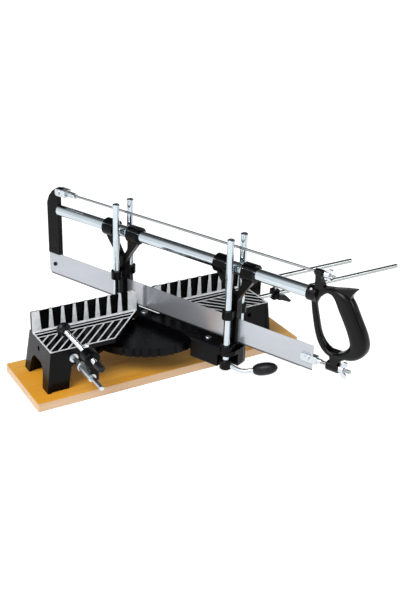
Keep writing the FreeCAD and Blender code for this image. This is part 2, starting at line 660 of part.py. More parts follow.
def handle():
    """Cast D-handle: tube socket, rod stem, thumb horn and blade boss."""
    loop = grip_loop()
    socket = rod(12.0, (SOCKET_S, 0, TUBE_Z), (327.0, 0, TUBE_Z))
    socket = fillet_some(socket, lambda e: is_ring(e) and e.CenterOfMass.x < SOCKET_S + 1, 2.0)
    stem = prism_y([(322.0, 212.0), (332.0, 213.0), (343.0, 223.0), (336.5, 227.0), (333.6, 232.0),
                    (331.4, 238.0), (331.6, ROD_UP_Z), (321.8, ROD_UP_Z), (322.6, 236.0), (322.4, 226.0)],
                   -5.0, 5.0, 0.8, 4.0)
    stem_eye = rod(5.2, (319.4, 0, ROD_UP_Z), (333.4, 0, ROD_UP_Z))
    stem_eye = chamfer_some(stem_eye, is_ring, 0.8)
    horn = prism_y([(332.0, 221.0), (338.0, 226.6), (354.0, 229.4), (372.0, 233.8), (390.0, 237.4),
                    (385.0, 231.0), (381.5, 225.0), (381.0, 218.0), (374.0, 208.0), (358.0, 218.0)],
                   -4.6, 4.6, 0.8, 6.0)
    neck = prism_y([(352.0, 131.0), (358.0, 121.0), (359.2, 113.0), (359.0, 104.0), (371.4, 104.0),
                    (371.0, 114.0), (375.0, 120.5), (385.0, 127.0), (377.0, 132.0)], -6.5, 6.5, 1.0, 4.0)
    boss = rod(8.0, (BOSS_S[0], 0, PULL_Z), (BOSS_S[1], 0, PULL_Z))
    boss = chamfer_some(boss, is_ring, 0.8)
    body = loop.fuse([socket, stem, stem_eye, horn, neck, boss])
    return body.cut([rod(TUBE_R, (300.0, 0, TUBE_Z), (TUBE_S[1], 0, TUBE_Z)),
                     rod(ROD_UP_R + RUN_FIT, (300.0, 0, ROD_UP_Z), (345.0, 0, ROD_UP_Z)),
                     rod(PULL_R + RUN_FIT, (345.0, 0, PULL_Z), (380.0, 0, PULL_Z)),
                     rivet_pin(TUBE_R - 0.5, 20.0)])


def rivet_pin(inner, outer):
    """Pin through the socket's near upper side, square to the tube."""
    turn = math.radians(48.0)
    s = SOCKET_S + 7.5
    start = (s, -inner * math.cos(turn), TUBE_Z + inner * math.sin(turn))
    end = (s, -outer * math.cos(turn), TUBE_Z + outer * math.sin(turn))
    return rod(2.0, start, end)


def handle_rivet():
    return rivet_pin(TUBE_R - 0.5, 12.6).cut(rod(TUBE_R, (SOCKET_S, 0, TUBE_Z), (TUBE_S[1], 0, TUBE_Z)))


def clamp_sleeve():
    """Bright sleeve that slides on the clamp bar, with a flange at the back."""
    x = -HOLE_X
    sleeve = rod(CLAMP_SLEEVE_R, (x, -104.0, HOLE_Z), (x, -147.0, HOLE_Z))
    flange = rod(7.6, (x, -104.0, HOLE_Z), (x, -110.0, HOLE_Z))
    flange = chamfer_some(flange, is_ring, 1.2)
    return fuse([sleeve, flange]).cut(rod(CLAMP_BAR_R + RUN_FIT, (x, -90.0, HOLE_Z), (x, -150.0, HOLE_Z)))


def clamp_arm():
    """Cast arm on the far side of the sleeve; its round head carries the screw."""
    x = -HOLE_X
    y0, y1 = -151.0, -129.0
    head = rod(CLAMP_HUB_R, (x, y0, CLAMP_Z), (x, y1, CLAMP_Z))
    head = fillet_some(head, is_ring, 2.5)
    web = prism_y([(x - 6.0, CLAMP_Z - 6), (x - 1.0, HOLE_Z + 4.0), (x - 1.0, HOLE_Z - 3.0),
                   (x + 5.0, HOLE_Z - 9.5), (x + 10.5, HOLE_Z - 5.0), (x + 11.0, CLAMP_Z - 6)],
                  -147.0, -130.0, 2.0, 0)
    web = web.cut(rod(CLAMP_SLEEVE_R, (x, y0 - 1, HOLE_Z), (x, -100.0, HOLE_Z)))
    body = fuse([head, web])
    return body.cut(rod(CLAMP_SCREW_R + RUN_FIT, (x, y0 - 1, CLAMP_Z), (x, -110.0, CLAMP_Z)))


def clamp_screw():
    x = -HOLE_X
    return rod(CLAMP_SCREW_R, (x, -46.0, CLAMP_Z), (x, -166.0, CLAMP_Z))


def clamp_knob():
    x = -HOLE_X
    knob = Part.makeCone(6.2, 5.2, 17.0, V(x, -166.0, CLAMP_Z), V(0, -1, 0))
    return chamfer_some(knob, lambda e: e.CenterOfMass.y < -182.9, 1.2)


def clamp_pad():
    """Swivel foot: a flat face with a domed back, seated on the screw's end."""
    x = -HOLE_X
    side = [V(0, -37.0, 0), V(0, -37.0, 11.0), V(0, -40.5, 11.5), V(0, -44.5, 8.5), V(0, -50.0, 6.8),
            V(0, -50.0, 0)]
    face = Part.Face(Part.makePolygon(side + [side[0]]))
    pad = face.revolve(V(0, 0, 0), V(0, 1, 0), 360)
    pad.translate(V(x, 0, CLAMP_Z))
    return pad.cut(rod(CLAMP_SCREW_R + RUN_FIT, (x, -46.0, CLAMP_Z), (x, -60.0, CLAMP_Z)))


def clamp_wing():
    """Wing nut on the clamp screw, drawn along X and turned along Y."""
    nut = wing_nut(0.0, 0.0, CLAMP_SCREW_R + RUN_FIT, 25.0, 20.0)
    nut.rotate(V(0, 0, 0), V(0, 0, 1), 90)
    nut.translate(V(-HOLE_X, -128.7, CLAMP_Z))
    return nut


def stop_block():
    y0, y1 = STOP_Y - 7.5, STOP_Y + 7.5
    block = box(STOP_X - 6.5, STOP_X + 6.5, y0, y1, STOP_Z - 8.0, STOP_Z + 9.5)
    block = block.makeFillet(1.5, [e for e in block.Edges if abs(e.tangentAt(e.FirstParameter).z) > 0.9])
    return block.cut([rod(STOP_R + RUN_FIT, (STOP_X - 20, STOP_Y, STOP_Z), (STOP_X + 20, STOP_Y, STOP_Z)),
                      rod(4.0, (STOP_X, STOP_Y, STOP_Z + 5.5), (STOP_X, STOP_Y, STOP_Z + 20))])


def stop_finger():
    """Bent rod: up out of the block, then away to the right."""
    bend = 9.0
    top = FINGER_Z
    low = STOP_Z + 5.5
    up = Part.makeLine(V(STOP_X, STOP_Y, low), V(STOP_X, STOP_Y, top - bend))
    mid = V(STOP_X + bend * (1 - math.cos(math.pi / 4)), STOP_Y, top - bend + bend * math.sin(math.pi / 4))
    arc = Part.Arc(V(STOP_X, STOP_Y, top - bend), mid, V(STOP_X + bend, STOP_Y, top)).toShape()
    out = Part.makeLine(V(STOP_X + bend, STOP_Y, top), V(FINGER_END, STOP_Y, top))
    spine = Part.Wire([up, arc, out])
    ring = Part.Wire(Part.makeCircle(4.0, V(STOP_X, STOP_Y, low), V(0, 0, 1)))
    return spine.makePipeShell([ring], True, False)


def stop_wing():
    """Wing screw of the stop: a stub with one flag-shaped wing."""
    y = STOP_Y - 7.5
    hub = rod(4.6, (STOP_X, y - 7.0, STOP_Z), (STOP_X, y, STOP_Z))
    flag = prism_y([(STOP_X - 4.0, STOP_Z - 4.0), (STOP_X + 4.0, STOP_Z - 5.5),
                    (STOP_X + 21.0, STOP_Z - 13.0), (STOP_X + 24.0, STOP_Z - 10.0),
                    (STOP_X + 12.0, STOP_Z + 2.0), (STOP_X - 1.0, STOP_Z + 4.5)],
                   y - 11.0, y - 5.0, 1.2, 0)
    return fuse([hub, flag])


def build():
    bed = bed_casting()
    save("board", board())
    save("bed_casting", bed)
    save("pivot_screw", pivot_screw())
    save("clamp_bar", clamp_bar())
    save("stop_rod", stop_rod())
    save("stop_bracket", stop_bracket(bed))
    save("arm_casting", arm_casting(), True)
    save("front_guide_rods", guide_rods(ROD_S[1], ROD_LOW), True)
    save("rear_guide_rods", guide_rods(ROD_S[0], ARM_WEB_Z[0]), True)
    save("rod_caps", rod_caps(), True)
    save("arm_screw", arm_screw(), True)
    save("lever_hub", lever_hub(), True)
    save("lever_rod", lever_rod(), True)
    save("lever_grip", lever_grip(), True)
    save("front_yoke", yoke(ROD_S[1]), True)
    save("rear_yoke", yoke(ROD_S[0]), True)
    save("frame_tube", tube(), True)
    save("rear_bracket", rear_bracket(), True)
    save("blade", blade(), True)
    save("blade_screw", blade_screw(), True)
    save("upper_clevis", upper_clevis(), True)
    save("clevis_pin", clevis_pin(), True)
    save("clevis_nut", hex_nut(-160.0, -153.0, 9.0, ROD_UP_Z, ROD_UP_R), True)
    save("tension_rod", tension_rod(), True)
    save("tension_wing_nut", wing_nut(NUT_UP_S, ROD_UP_Z, ROD_UP_R + RUN_FIT, 18.0), True)
    save("pull_fork", pull_fork(), True)
    save("pull_pin", pull_pin(), True)
    save("pull_rod", pull_rod(), True)
    save("pull_wing_nut", wing_nut(BOSS_S[1] + 0.3, PULL_Z, PULL_R + RUN_FIT, 26.0), True)
    save("handle", handle(), True)
    save("handle_rivet", handle_rivet(), True)
    save("clamp_arm", clamp_arm())
    save("clamp_sleeve", clamp_sleeve())
    save("clamp_screw", clamp_screw())
    save("clamp_knob", clamp_knob())
    save("clamp_pad", clamp_pad())
    save("clamp_wing_nut", clamp_wing())
    save("stop_block", stop_block())
    save("stop_finger", stop_finger())
    save("stop_wing_screw", stop_wing())


build()
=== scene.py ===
import math

import bpy
from mathutils import Matrix, Vector


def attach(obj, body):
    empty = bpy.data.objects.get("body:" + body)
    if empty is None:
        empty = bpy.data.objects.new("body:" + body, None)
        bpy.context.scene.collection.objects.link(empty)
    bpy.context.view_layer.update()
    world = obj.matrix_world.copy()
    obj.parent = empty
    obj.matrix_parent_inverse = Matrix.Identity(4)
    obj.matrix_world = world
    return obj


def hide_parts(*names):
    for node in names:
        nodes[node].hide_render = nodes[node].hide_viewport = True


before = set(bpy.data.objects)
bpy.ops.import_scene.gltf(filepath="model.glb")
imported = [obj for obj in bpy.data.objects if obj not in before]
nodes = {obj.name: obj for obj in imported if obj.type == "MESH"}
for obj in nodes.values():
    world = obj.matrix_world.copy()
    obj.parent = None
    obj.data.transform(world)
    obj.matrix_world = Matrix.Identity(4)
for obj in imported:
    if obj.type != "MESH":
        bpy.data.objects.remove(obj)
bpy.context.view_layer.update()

# The board is one planed softwood slab, varnished to a strong honey colour on
# top and left paler on the sawn edges and ends. Everything stands on it.
HONEY = (0.76, 0.33, 0.022)
DEEP_HONEY = (0.60, 0.225, 0.010)
LIGHT_HONEY = (0.78, 0.43, 0.085)
PAINTED_HIGHLIGHT_HONEY = (0.88, 0.52, 0.19)
SAWN_EDGE = (0.56, 0.37, 0.22)
END_GRAIN = (0.44, 0.27, 0.14)
RING_WIDTH = 0.012
FIBRE_WIDTH = 0.0016
PATCH_WIDTH = 0.11
CELL_WIDTH = 0.004
RINGS_DRAWN_OUT = (0.045, 1.0, 1.0)
FIBRES_DRAWN_OUT = (0.03, 1.0, 1.0)
PATCHES_DRAWN_OUT = (0.5, 1.0, 1.0)
CELLS_DRAWN_OUT = (0.2, 1.0, 1.4)
PAINTED_LIT_ENDS_X = (0.225, 0.250)
PAINTED_HIGHLIGHT_X = (0.10, 0.23)
GRAIN_DEPTH = 0.00016
BOARD_CORNER = 0.0014


class Reading:
    """One value inside a finish. Plain arithmetic on it adds the Math nodes."""

    def __init__(self, finish, socket):
        self.finish = finish
        self.socket = socket

    def joined(self, operation, first, second):
        return self.finish.part("ShaderNodeMath", {"operation": operation},
                                {0: first, 1: second})

    def __add__(self, other):
        return self.joined("ADD", self, other)

    def __sub__(self, other):
        return self.joined("SUBTRACT", self, other)

    def __rsub__(self, other):
        return self.joined("SUBTRACT", other, self)

    def __mul__(self, other):
        return self.joined("MULTIPLY", self, other)

    def __gt__(self, other):
        return self.joined("GREATER_THAN", self, other)

    def __lt__(self, other):
        return self.joined("LESS_THAN", self, other)

    def __abs__(self):
        return self.joined("ABSOLUTE", self, 0.0)

    __radd__ = __add__
    __rmul__ = __mul__

    def above(self, low, high):
        """Rises from 0 at low to 1 at high."""
        return self.finish.part("ShaderNodeMapRange", {"clamp": True}, {0: self, 1: low, 2: high})


class Finish:
    """A material of this saw. What is even over the piece is set on the shader itself."""

    def __init__(self, name, colour, metal, rough, **even):
        self.material = bpy.data.materials.new(name)
        self.material.use_nodes = True
        self.tree = self.material.node_tree
        self.shader = self.tree.nodes["Principled BSDF"]
        self.shader.inputs["Base Color"].default_value = (*colour, 1.0)
        self.shader.inputs["Metallic"].default_value = metal
        self.shader.inputs["Roughness"].default_value = rough
        for label, value in even.items():
            socket = label.replace("_", " ").title().replace("Ior", "IOR")
            self.shader.inputs[socket].default_value = value

    def part(self, kind, settings=None, inputs=None, output=0):
        """Adds one node: its settings first, then the values or links of its sockets."""
        node = self.tree.nodes.new(kind)
        for label, value in (settings or {}).items():
            setattr(node, label, value)
        for label, value in (inputs or {}).items():
            self.feed(node.inputs[label], value)
        return Reading(self, node.outputs[output])

    def feed(self, socket, value):
        if isinstance(value, Reading):
            self.tree.links.new(value.socket, socket)
        else:
            socket.default_value = value

    def place(self, stretch=(1.0, 1.0, 1.0), turned=0.0):
        """Where a point lies on the piece, turned about Z and then stretched."""
        here = self.part("ShaderNodeTexCoord", output="Object")
        square = self.part("ShaderNodeMapping", {"vector_type": "POINT"},
                           {"Vector": here, "Rotation": (0.0, 0.0, turned)})
        return self.part("ShaderNodeMapping", {"vector_type": "POINT"},
                         {"Vector": square, "Scale": stretch})

    def grain(self, place, size, detail=3.0, rough=0.5, twist=0.0):
        """Soft noise with features about size metres across, from 0 to 1."""
        return self.part("ShaderNodeTexNoise", {"noise_dimensions": "3D"},
                         {"Vector": place, "Scale": 1.0 / size, "Detail": detail,
                          "Roughness": rough, "Distortion": twist})

    def axis(self, place, label):
        """One coordinate, X, Y or Z, of a place or a direction."""
        return self.part("ShaderNodeSeparateXYZ", None, {0: place}, label)

    def facing(self, label):
        """How far the surface faces along X, Y or Z of the piece."""
        return self.axis(self.part("ShaderNodeTexCoord", output="Normal"), label)

    def blend(self, amount, first, second):
        """Colour from first to second as amount goes from 0 to 1."""
        def shade(value):
            return value if isinstance(value, Reading) else (*value, 1.0)
        return self.part("ShaderNodeMix", {"data_type": "RGBA"},
                         {"Factor": amount, 6: shade(first), 7: shade(second)}, 2)

    def colour(self, value):
        self.feed(self.shader.inputs["Base Color"], value)

    def rough(self, value):
        self.feed(self.shader.inputs["Roughness"], value)

    def metal(self, value):
        self.feed(self.shader.inputs["Metallic"], value)

    def relief(self, height, depth, edge=0.0):
        """Raises the surface by height times depth metres; edge rounds the corners."""
        inputs = {"Height": height, "Distance": depth, "Strength": 1.0}
        if edge:
            inputs["Normal"] = self.part("ShaderNodeBevel", {"samples": 4}, {"Radius": edge})
        self.feed(self.shader.inputs["Normal"], self.part("ShaderNodeBump", None, inputs))

    def on(self, *names):
        """Puts the finish on the named solids."""
        for name in names:
            for holder in nodes[name].material_slots:
                holder.material = self.material


wood = Finish("board_wood", HONEY, metal=0.0, rough=0.42, coat_weight=0.12, coat_roughness=0.30)
along = wood.place(RINGS_DRAWN_OUT)
rings = wood.grain(along, RING_WIDTH, detail=4.0, rough=0.55, twist=1.4)
fibres = wood.grain(wood.place(FIBRES_DRAWN_OUT), FIBRE_WIDTH, detail=3.0, rough=0.6)
patches = wood.grain(wood.place(PATCHES_DRAWN_OUT), PATCH_WIDTH, detail=2.0)
board_x = wood.axis(wood.place(), "X")

pale_patches = patches.above(0.42, 0.70)
top_shade = wood.blend(pale_patches, HONEY, LIGHT_HONEY)
dark_rings = rings.above(0.50, 0.72) * 0.75
top_shade = wood.blend(dark_rings, top_shade, DEEP_HONEY)
dark_fibres = fibres.above(0.56, 0.75) * 0.35
top_shade = wood.blend(dark_fibres, top_shade, DEEP_HONEY)
# Painted light: the top is drawn lighter towards both ends of the board, standing in for the bed's
# shadow over its middle.
painted_lit_ends = abs(board_x).above(*PAINTED_LIT_ENDS_X) * 0.55
top_shade = wood.blend(painted_lit_ends, top_shade, LIGHT_HONEY)
# Painted highlight: the top turns pale towards the right end, where the light falls strongest.
painted_highlight_end = board_x.above(*PAINTED_HIGHLIGHT_X) * 0.6
top_shade = wood.blend(painted_highlight_end, top_shade, PAINTED_HIGHLIGHT_HONEY)

edge_rings = rings.above(0.40, 0.70) * 0.7
sawn = wood.blend(edge_rings, SAWN_EDGE, END_GRAIN)
cells = wood.grain(wood.place(CELLS_DRAWN_OUT), CELL_WIDTH, detail=3.0, rough=0.6, twist=0.8)
open_cells = cells.above(0.40, 0.65)
cut_end = wood.blend(open_cells, SAWN_EDGE, END_GRAIN)
is_end = abs(wood.facing("X")).above(0.6, 0.9)
side_shade = wood.blend(is_end, sawn, cut_end)
is_top = wood.facing("Z").above(0.55, 0.8)
wood.colour(wood.blend(is_top, side_shade, top_shade))
wood.rough(0.36 + rings * 0.16 + fibres * 0.12)
wood.relief(rings * 0.35 + fibres * 0.65, GRAIN_DEPTH, BOARD_CORNER)
wood.on("board")

# The bed is one iron casting, sprayed gloss black all over. The fence faces and
# the thin ribs of the two tables are ground bright afterwards, so they are bare
# metal with fine lines along the fence. The fence's top edge has lost some paint.
ENAMEL = (0.0012, 0.0012, 0.0016)
RUBBED_ENAMEL = (0.0050, 0.0050, 0.0058)
ENAMEL_SHEEN = 0.10
PEEL_WIDTH = 0.0018
SWELL_WIDTH = 0.016
RUB_WIDTH = 0.034
PAINT_DEPTH = 0.00010
BED_CORNER = 0.0008
GROUND_METAL = (0.80, 0.82, 0.83)
STAINED_METAL = (0.50, 0.52, 0.53)
GROUND_METALLIC = 0.30
STROKE_WIDTH = 0.0008
STROKES_DRAWN_OUT = (0.02, 1.0, 1.0)
STAIN_WIDTH = 0.012
CHIP_WIDTH = 0.005
CHIPPED_ABOVE = 0.52
FACES_FRONT = -0.9
TABLE_TOP = 0.084
FENCE_TOP = 0.120
BARE_TOLERANCE = 0.0004


def enamel_on(finish, edge):
    """Sprayed gloss paint over a slightly uneven casting; gives its colour and roughness."""
    skin = finish.place()
    peel = finish.grain(skin, PEEL_WIDTH, detail=2.0)
    swell = finish.grain(skin, SWELL_WIDTH, detail=3.0)
    rub = finish.grain(skin, RUB_WIDTH, detail=6.0, rough=0.7).above(0.57, 0.76)
    finish.relief(peel * 0.2 + swell * 0.8, PAINT_DEPTH, edge)
    return finish.blend(rub, ENAMEL, RUBBED_ENAMEL), 0.20 + swell * 0.12 + rub * 0.16


bed = Finish("bed_enamel", ENAMEL, metal=0.0, rough=0.3, specular_ior_level=ENAMEL_SHEEN)
paint, paint_rough = enamel_on(bed, BED_CORNER)
spot = bed.place()
height = bed.axis(spot, "Z")
depth = bed.axis(spot, "Y")
chips = bed.grain(spot, CHIP_WIDTH, detail=5.0, rough=0.7)
table_face = ((height > TABLE_TOP - BARE_TOLERANCE) * (height < TABLE_TOP + BARE_TOLERANCE)
              * (depth < BARE_TOLERANCE))
fence_face = ((height > TABLE_TOP) * (depth < BARE_TOLERANCE)
              * (bed.facing("Y") < FACES_FRONT))
fence_rim = (height > FENCE_TOP - BARE_TOLERANCE) * (chips > CHIPPED_ABOVE)
bare = (table_face + fence_face + fence_rim).above(0.0, 0.5)
strokes = bed.grain(bed.place(STROKES_DRAWN_OUT), STROKE_WIDTH, detail=2.0)
stain = bed.grain(spot, STAIN_WIDTH, detail=4.0, rough=0.6)
metal_shade = bed.blend(stain.above(0.42, 0.75) * 0.6, GROUND_METAL, STAINED_METAL)
bed.colour(bed.blend(bare, paint, metal_shade))
bed.metal(bare * GROUND_METALLIC)
bed.rough(paint_rough * (1.0 - bare) + bare * (0.32 + strokes * 0.26))
bed.on("bed_casting")

# The arm, both carriages, the rear bracket, the lever's hub, the clamp arm and the
# stop's pieces are smaller iron castings, sprayed like the bed and ground nowhere.
CASTING_CORNER = 0.0010

casting = Finish("casting_enamel", ENAMEL, metal=0.0, rough=0.3, specular_ior_level=ENAMEL_SHEEN)
casting_paint, casting_rough = enamel_on(casting, CASTING_CORNER)
casting.colour(casting_paint)
casting.rough(casting_rough)
casting.on("arm_casting", "front_yoke", "rear_yoke", "rear_bracket", "lever_hub", "clamp_arm",
           "stop_bracket", "stop_block")

# The four guide rods are drawn steel bars, polished and chromed, pressed into
# the arm. The carriages run up and down on them and leave a faint film.
CHROME = (0.54, 0.60, 0.64)
CHROME_FILM = (0.40, 0.46, 0.50)
LINES_UPRIGHT = (1.0, 1.0, 0.02)
FILM_UPRIGHT = (1.0, 1.0, 0.5)
UPRIGHT_LINE_WIDTH = 0.0008
UPRIGHT_FILM_WIDTH = 0.016
LINE_DEPTH = 0.000010
ROD_CORNER = 0.0005

upright = Finish("upright_chrome", CHROME, metal=1.0, rough=0.08)
upright_lines = upright.grain(upright.place(LINES_UPRIGHT), UPRIGHT_LINE_WIDTH, detail=2.0)
upright_film = upright.grain(upright.place(FILM_UPRIGHT), UPRIGHT_FILM_WIDTH, detail=4.0,
                             rough=0.6)
upright.rough(0.05 + upright_film.above(0.45, 0.8) * 0.12)
upright.relief(upright_lines, LINE_DEPTH, ROD_CORNER)
upright.colour(upright.blend(upright_film.above(0.45, 0.75) * 0.45, CHROME, CHROME_FILM))
upright.on("front_guide_rods", "rear_guide_rods", "rod_caps")

# The saw's backbone is a chromed steel tube, and the stop has two chromed rods.
# All were drawn through a die, so their faint lines run along them.
SAW_TURN = math.radians(67.5)
ALONG_FENCE = 0.0
STOP_STEEL = (0.40, 0.43, 0.43)
STOP_FILM = (0.25, 0.28, 0.27)
LINES_ALONG = (0.02, 1.0, 1.0)
FILM_ALONG = (0.4, 1.0, 1.0)
DIE_LINE_WIDTH = 0.0009
DIE_FILM_WIDTH = 0.018
BAR_CORNER = 0.0004


def drawn_bar(name, turned, shade, film_shade, dull):
    """Bright bar whose drawing lines run along it, at an angle to the fence."""
    bar = Finish(name, shade, metal=1.0, rough=dull)
    lines = bar.grain(bar.place(LINES_ALONG, turned), DIE_LINE_WIDTH, detail=2.0)
    film = bar.grain(bar.place(FILM_ALONG, turned), DIE_FILM_WIDTH, detail=4.0, rough=0.6)
    bar.rough(dull + film.above(0.45, 0.8) * 0.14)
    bar.relief(lines, LINE_DEPTH, BAR_CORNER)
    bar.colour(bar.blend(film.above(0.45, 0.75) * 0.5, shade, film_shade))
    return bar


tube_chrome = drawn_bar("tube_chrome", SAW_TURN, CHROME, CHROME_FILM, dull=0.06)
tube_chrome.on("frame_tube")
stop_chrome = drawn_bar("stop_chrome", ALONG_FENCE, STOP_STEEL, STOP_FILM, dull=0.16)
stop_chrome.on("stop_rod", "stop_finger")

# The blade is rolled strip steel, ground along its length, and much darker along its lowest few
# millimetres.
# A row of fine teeth is filed along the lower edge, bent a little to each side
# in turn, so the cut is wider than the strip.
STRIP_STEEL = (0.40, 0.42, 0.45)
STRIP_PALE = (0.47, 0.48, 0.53)
DARK_EDGE_STEEL = (0.030, 0.031, 0.034)
STRIP_METALLIC = 0.72
MILL_WIDTH = 0.0012
MILL_DRAWN_OUT = (0.010, 1.0, 1.0)
MILL_DEPTH = 0.000006
SMEAR_WIDTH = 0.050
SMEARS_DRAWN_OUT = (0.30, 1.0, 1.0)
BLADE_EDGE = 0.0858
BLADE_THICK = 0.0008
DARK_EDGE_TOP = 0.0890
DARK_EDGE_FULL = BLADE_EDGE + 0.0008
TEETH_FROM = -0.2170
TEETH_TO = 0.3070
TOOTH_PITCH = 0.0018
TOOTH_DEPTH = 0.0013
TOOTH_SET = 0.00022
TOOTH_ROOT = 0.0001
SQUARE_SIDES = 4
SIDE_TO_CORNER = math.sqrt(0.5)

strip = Finish("blade_steel", STRIP_STEEL, metal=STRIP_METALLIC, rough=0.25)
mill = strip.grain(strip.place(MILL_DRAWN_OUT, SAW_TURN), MILL_WIDTH, detail=3.0, rough=0.6)
smears = strip.grain(strip.place(SMEARS_DRAWN_OUT, SAW_TURN), SMEAR_WIDTH, detail=4.0, rough=0.6,
                     twist=0.6)
# The strip turns much darker along its lowest few millimetres, just above the teeth.
dark_edge = strip.axis(strip.place(), "Z").above(DARK_EDGE_TOP, DARK_EDGE_FULL)
strip.rough(0.14 + smears.above(0.3, 0.8) * 0.12 + mill * 0.06)
strip_shade = strip.blend(smears.above(0.35, 0.70) * 0.6, STRIP_STEEL, STRIP_PALE)
strip.colour(strip.blend(dark_edge, strip_shade, DARK_EDGE_STEEL))
strip.relief(mill, MILL_DEPTH)
strip.on("blade")


class Recipe:
    """A geometry tree with named sizes. It makes pieces that repeat or follow a path."""

    def __init__(self, name, **sizes):
        self.tree = bpy.data.node_groups.new(name, "GeometryNodeTree")
        self.tree.is_modifier = True
        face = self.tree.interface
        for label, value in sizes.items():
            kind = "NodeSocketInt" if isinstance(value, int) else "NodeSocketFloat"
            face.new_socket(label, in_out="INPUT", socket_type=kind).default_value = value
        face.new_socket("Mesh", in_out="OUTPUT", socket_type="NodeSocketGeometry")
        self.sizes = self.tree.nodes.new("NodeGroupInput").outputs
        self.result = self.tree.nodes.new("NodeGroupOutput")

    def step(self, kind, settings=None, inputs=None, output=0):
        """Adds one node: its settings first, then the values or links of its sockets."""
        node = self.tree.nodes.new(kind)
        for label, value in (settings or {}).items():
            setattr(node, label, value)
        for label, value in (inputs or {}).items():
            if isinstance(value, bpy.types.NodeSocket):
                self.tree.links.new(value, node.inputs[label])
            else:
                node.inputs[label].default_value = value
        return node.outputs[output]

    def sums(self, operation, first, second):
        return self.step("ShaderNodeMath", {"operation": operation}, {0: first, 1: second})

    def offset(self, **along):
        """A move or a scale, from its X, Y and Z."""
        return self.step("ShaderNodeCombineXYZ", None, along)

    def joined(self, *meshes):
        node = self.tree.nodes.new("GeometryNodeJoinGeometry")
        for mesh in meshes:
            self.tree.links.new(mesh, node.inputs[0])
        return node.outputs[0]

    def closes(self, mesh, material):
        """Ends the tree: instances made real, and the material set on them."""
        real = self.step("GeometryNodeRealizeInstances", None, {"Geometry": mesh})
        dressed = self.step("GeometryNodeSetMaterial", None,
                            {"Geometry": real, "Material": material})
        self.tree.links.new(dressed, self.result.inputs[0])

    def made(self, **sizes):
        """The plain mesh that the tree gives for these sizes."""
        blank = bpy.data.objects.new("blank", bpy.data.meshes.new("blank"))
        bpy.context.scene.collection.objects.link(blank)
        modifier = blank.modifiers.new("recipe", "NODES")
        modifier.node_group = self.tree
        for socket in self.tree.interface.items_tree:
            if socket.in_out == "INPUT" and socket.name in sizes:
                modifier[socket.identifier] = sizes[socket.name]
        depsgraph = bpy.context.evaluated_depsgraph_get()
        seen = blank.evaluated_get(depsgraph)
        mesh = bpy.data.meshes.new_from_object(seen, depsgraph=depsgraph)
        blank.modifiers.clear()
        bpy.data.objects.remove(blank)
        return mesh


def piece_of(name, mesh):
    """A finished piece at the origin, with its place already in its mesh."""
    for face in mesh.polygons:
        face.use_smooth = False
    piece = bpy.data.objects.new(name, mesh)
    bpy.context.scene.collection.objects.link(piece)
    return piece


TURN_TO_BED = Matrix.Rotation(-SAW_TURN, 4, "Z")

tooth_row = Recipe("tooth_row", Count=10, Pitch=TOOTH_PITCH, Depth=TOOTH_DEPTH,
                   Thickness=BLADE_THICK, Set=TOOTH_SET)
size = tooth_row.sizes
spots = tooth_row.step("GeometryNodeMeshLine", {"mode": "OFFSET"},
                       {"Count": size["Count"], "Offset": tooth_row.offset(X=size["Pitch"])})
odd = tooth_row.sums("MODULO", tooth_row.step("GeometryNodeInputIndex"), 2.0)
sway = tooth_row.sums("MULTIPLY", tooth_row.sums("SUBTRACT", odd, 0.5), size["Set"])
spots = tooth_row.step("GeometryNodeSetPosition", None,
                       {"Geometry": spots, "Offset": tooth_row.offset(Y=sway)})
corner = tooth_row.sums("MULTIPLY", size["Pitch"], SIDE_TO_CORNER)
tooth = tooth_row.step("GeometryNodeMeshCone", {"fill_type": "NGON"},
                       {"Vertices": SQUARE_SIDES, "Radius Top": 0.0, "Depth": size["Depth"],
                        "Radius Bottom": corner})
tooth = tooth_row.step("GeometryNodeTransform", None,
                       {"Geometry": tooth, "Rotation": (0.0, 0.0, math.pi / 4)})
slim = tooth_row.sums("DIVIDE", size["Thickness"], size["Pitch"])
tooth = tooth_row.step("GeometryNodeTransform", None,
                       {"Geometry": tooth, "Rotation": (math.pi, 0.0, 0.0),
                        "Scale": tooth_row.offset(X=1.0, Y=slim, Z=1.0)})
row = tooth_row.step("GeometryNodeInstanceOnPoints", None, {"Points": spots, "Instance": tooth})
tooth_row.closes(row, strip.material)

teeth_mesh = tooth_row.made(Count=int((TEETH_TO - TEETH_FROM) / TOOTH_PITCH))
teeth_mesh.transform(TURN_TO_BED @ Matrix.Translation((TEETH_FROM, 0.0, BLADE_EDGE + TOOTH_ROOT)))
teeth = piece_of("blade_teeth", teeth_mesh)
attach(teeth, "saw")

# Small turned and stamped hardware is zinc plated: screws, nuts, clevis, pull
# fork, clamp bar and sleeve, and the bent rod of the index lever. The plating
# has a grey bloom in patches. The screw at the blade's far end is blued.
ZINC = (0.58, 0.62, 0.65)
ZINC_BLOOM = (0.36, 0.40, 0.43)
BLUED = (0.006, 0.006, 0.008)
BLUED_BLOOM = (0.014, 0.015, 0.018)
BLOOM_WIDTH = 0.0035
BLOOM_DEPTH = 0.00002
HARDWARE_CORNER = 0.0005


def plated(name, shade, bloom_shade, dull):
    """Thin metal coat on a small piece, with a soft cloudy bloom."""
    plate = Finish(name, shade, metal=1.0, rough=dull)
    bloom = plate.grain(plate.place(), BLOOM_WIDTH, detail=4.0, rough=0.65)
    plate.rough(dull + bloom * 0.22)
    plate.colour(plate.blend(bloom.above(0.45, 0.75) * 0.7, shade, bloom_shade))
    plate.relief(bloom, BLOOM_DEPTH, HARDWARE_CORNER)
    return plate


zinc = plated("zinc_plate", ZINC, ZINC_BLOOM, dull=0.18)
zinc.on("pivot_screw", "arm_screw", "upper_clevis", "clevis_pin", "clevis_nut",
        "tension_wing_nut", "pull_fork", "pull_pin", "pull_wing_nut", "handle_rivet", "clamp_bar",
        "clamp_sleeve", "clamp_wing_nut", "lever_rod")
blued = plated("blued_screw", BLUED, BLUED_BLOOM, dull=0.35)
blued.on("blade_screw")

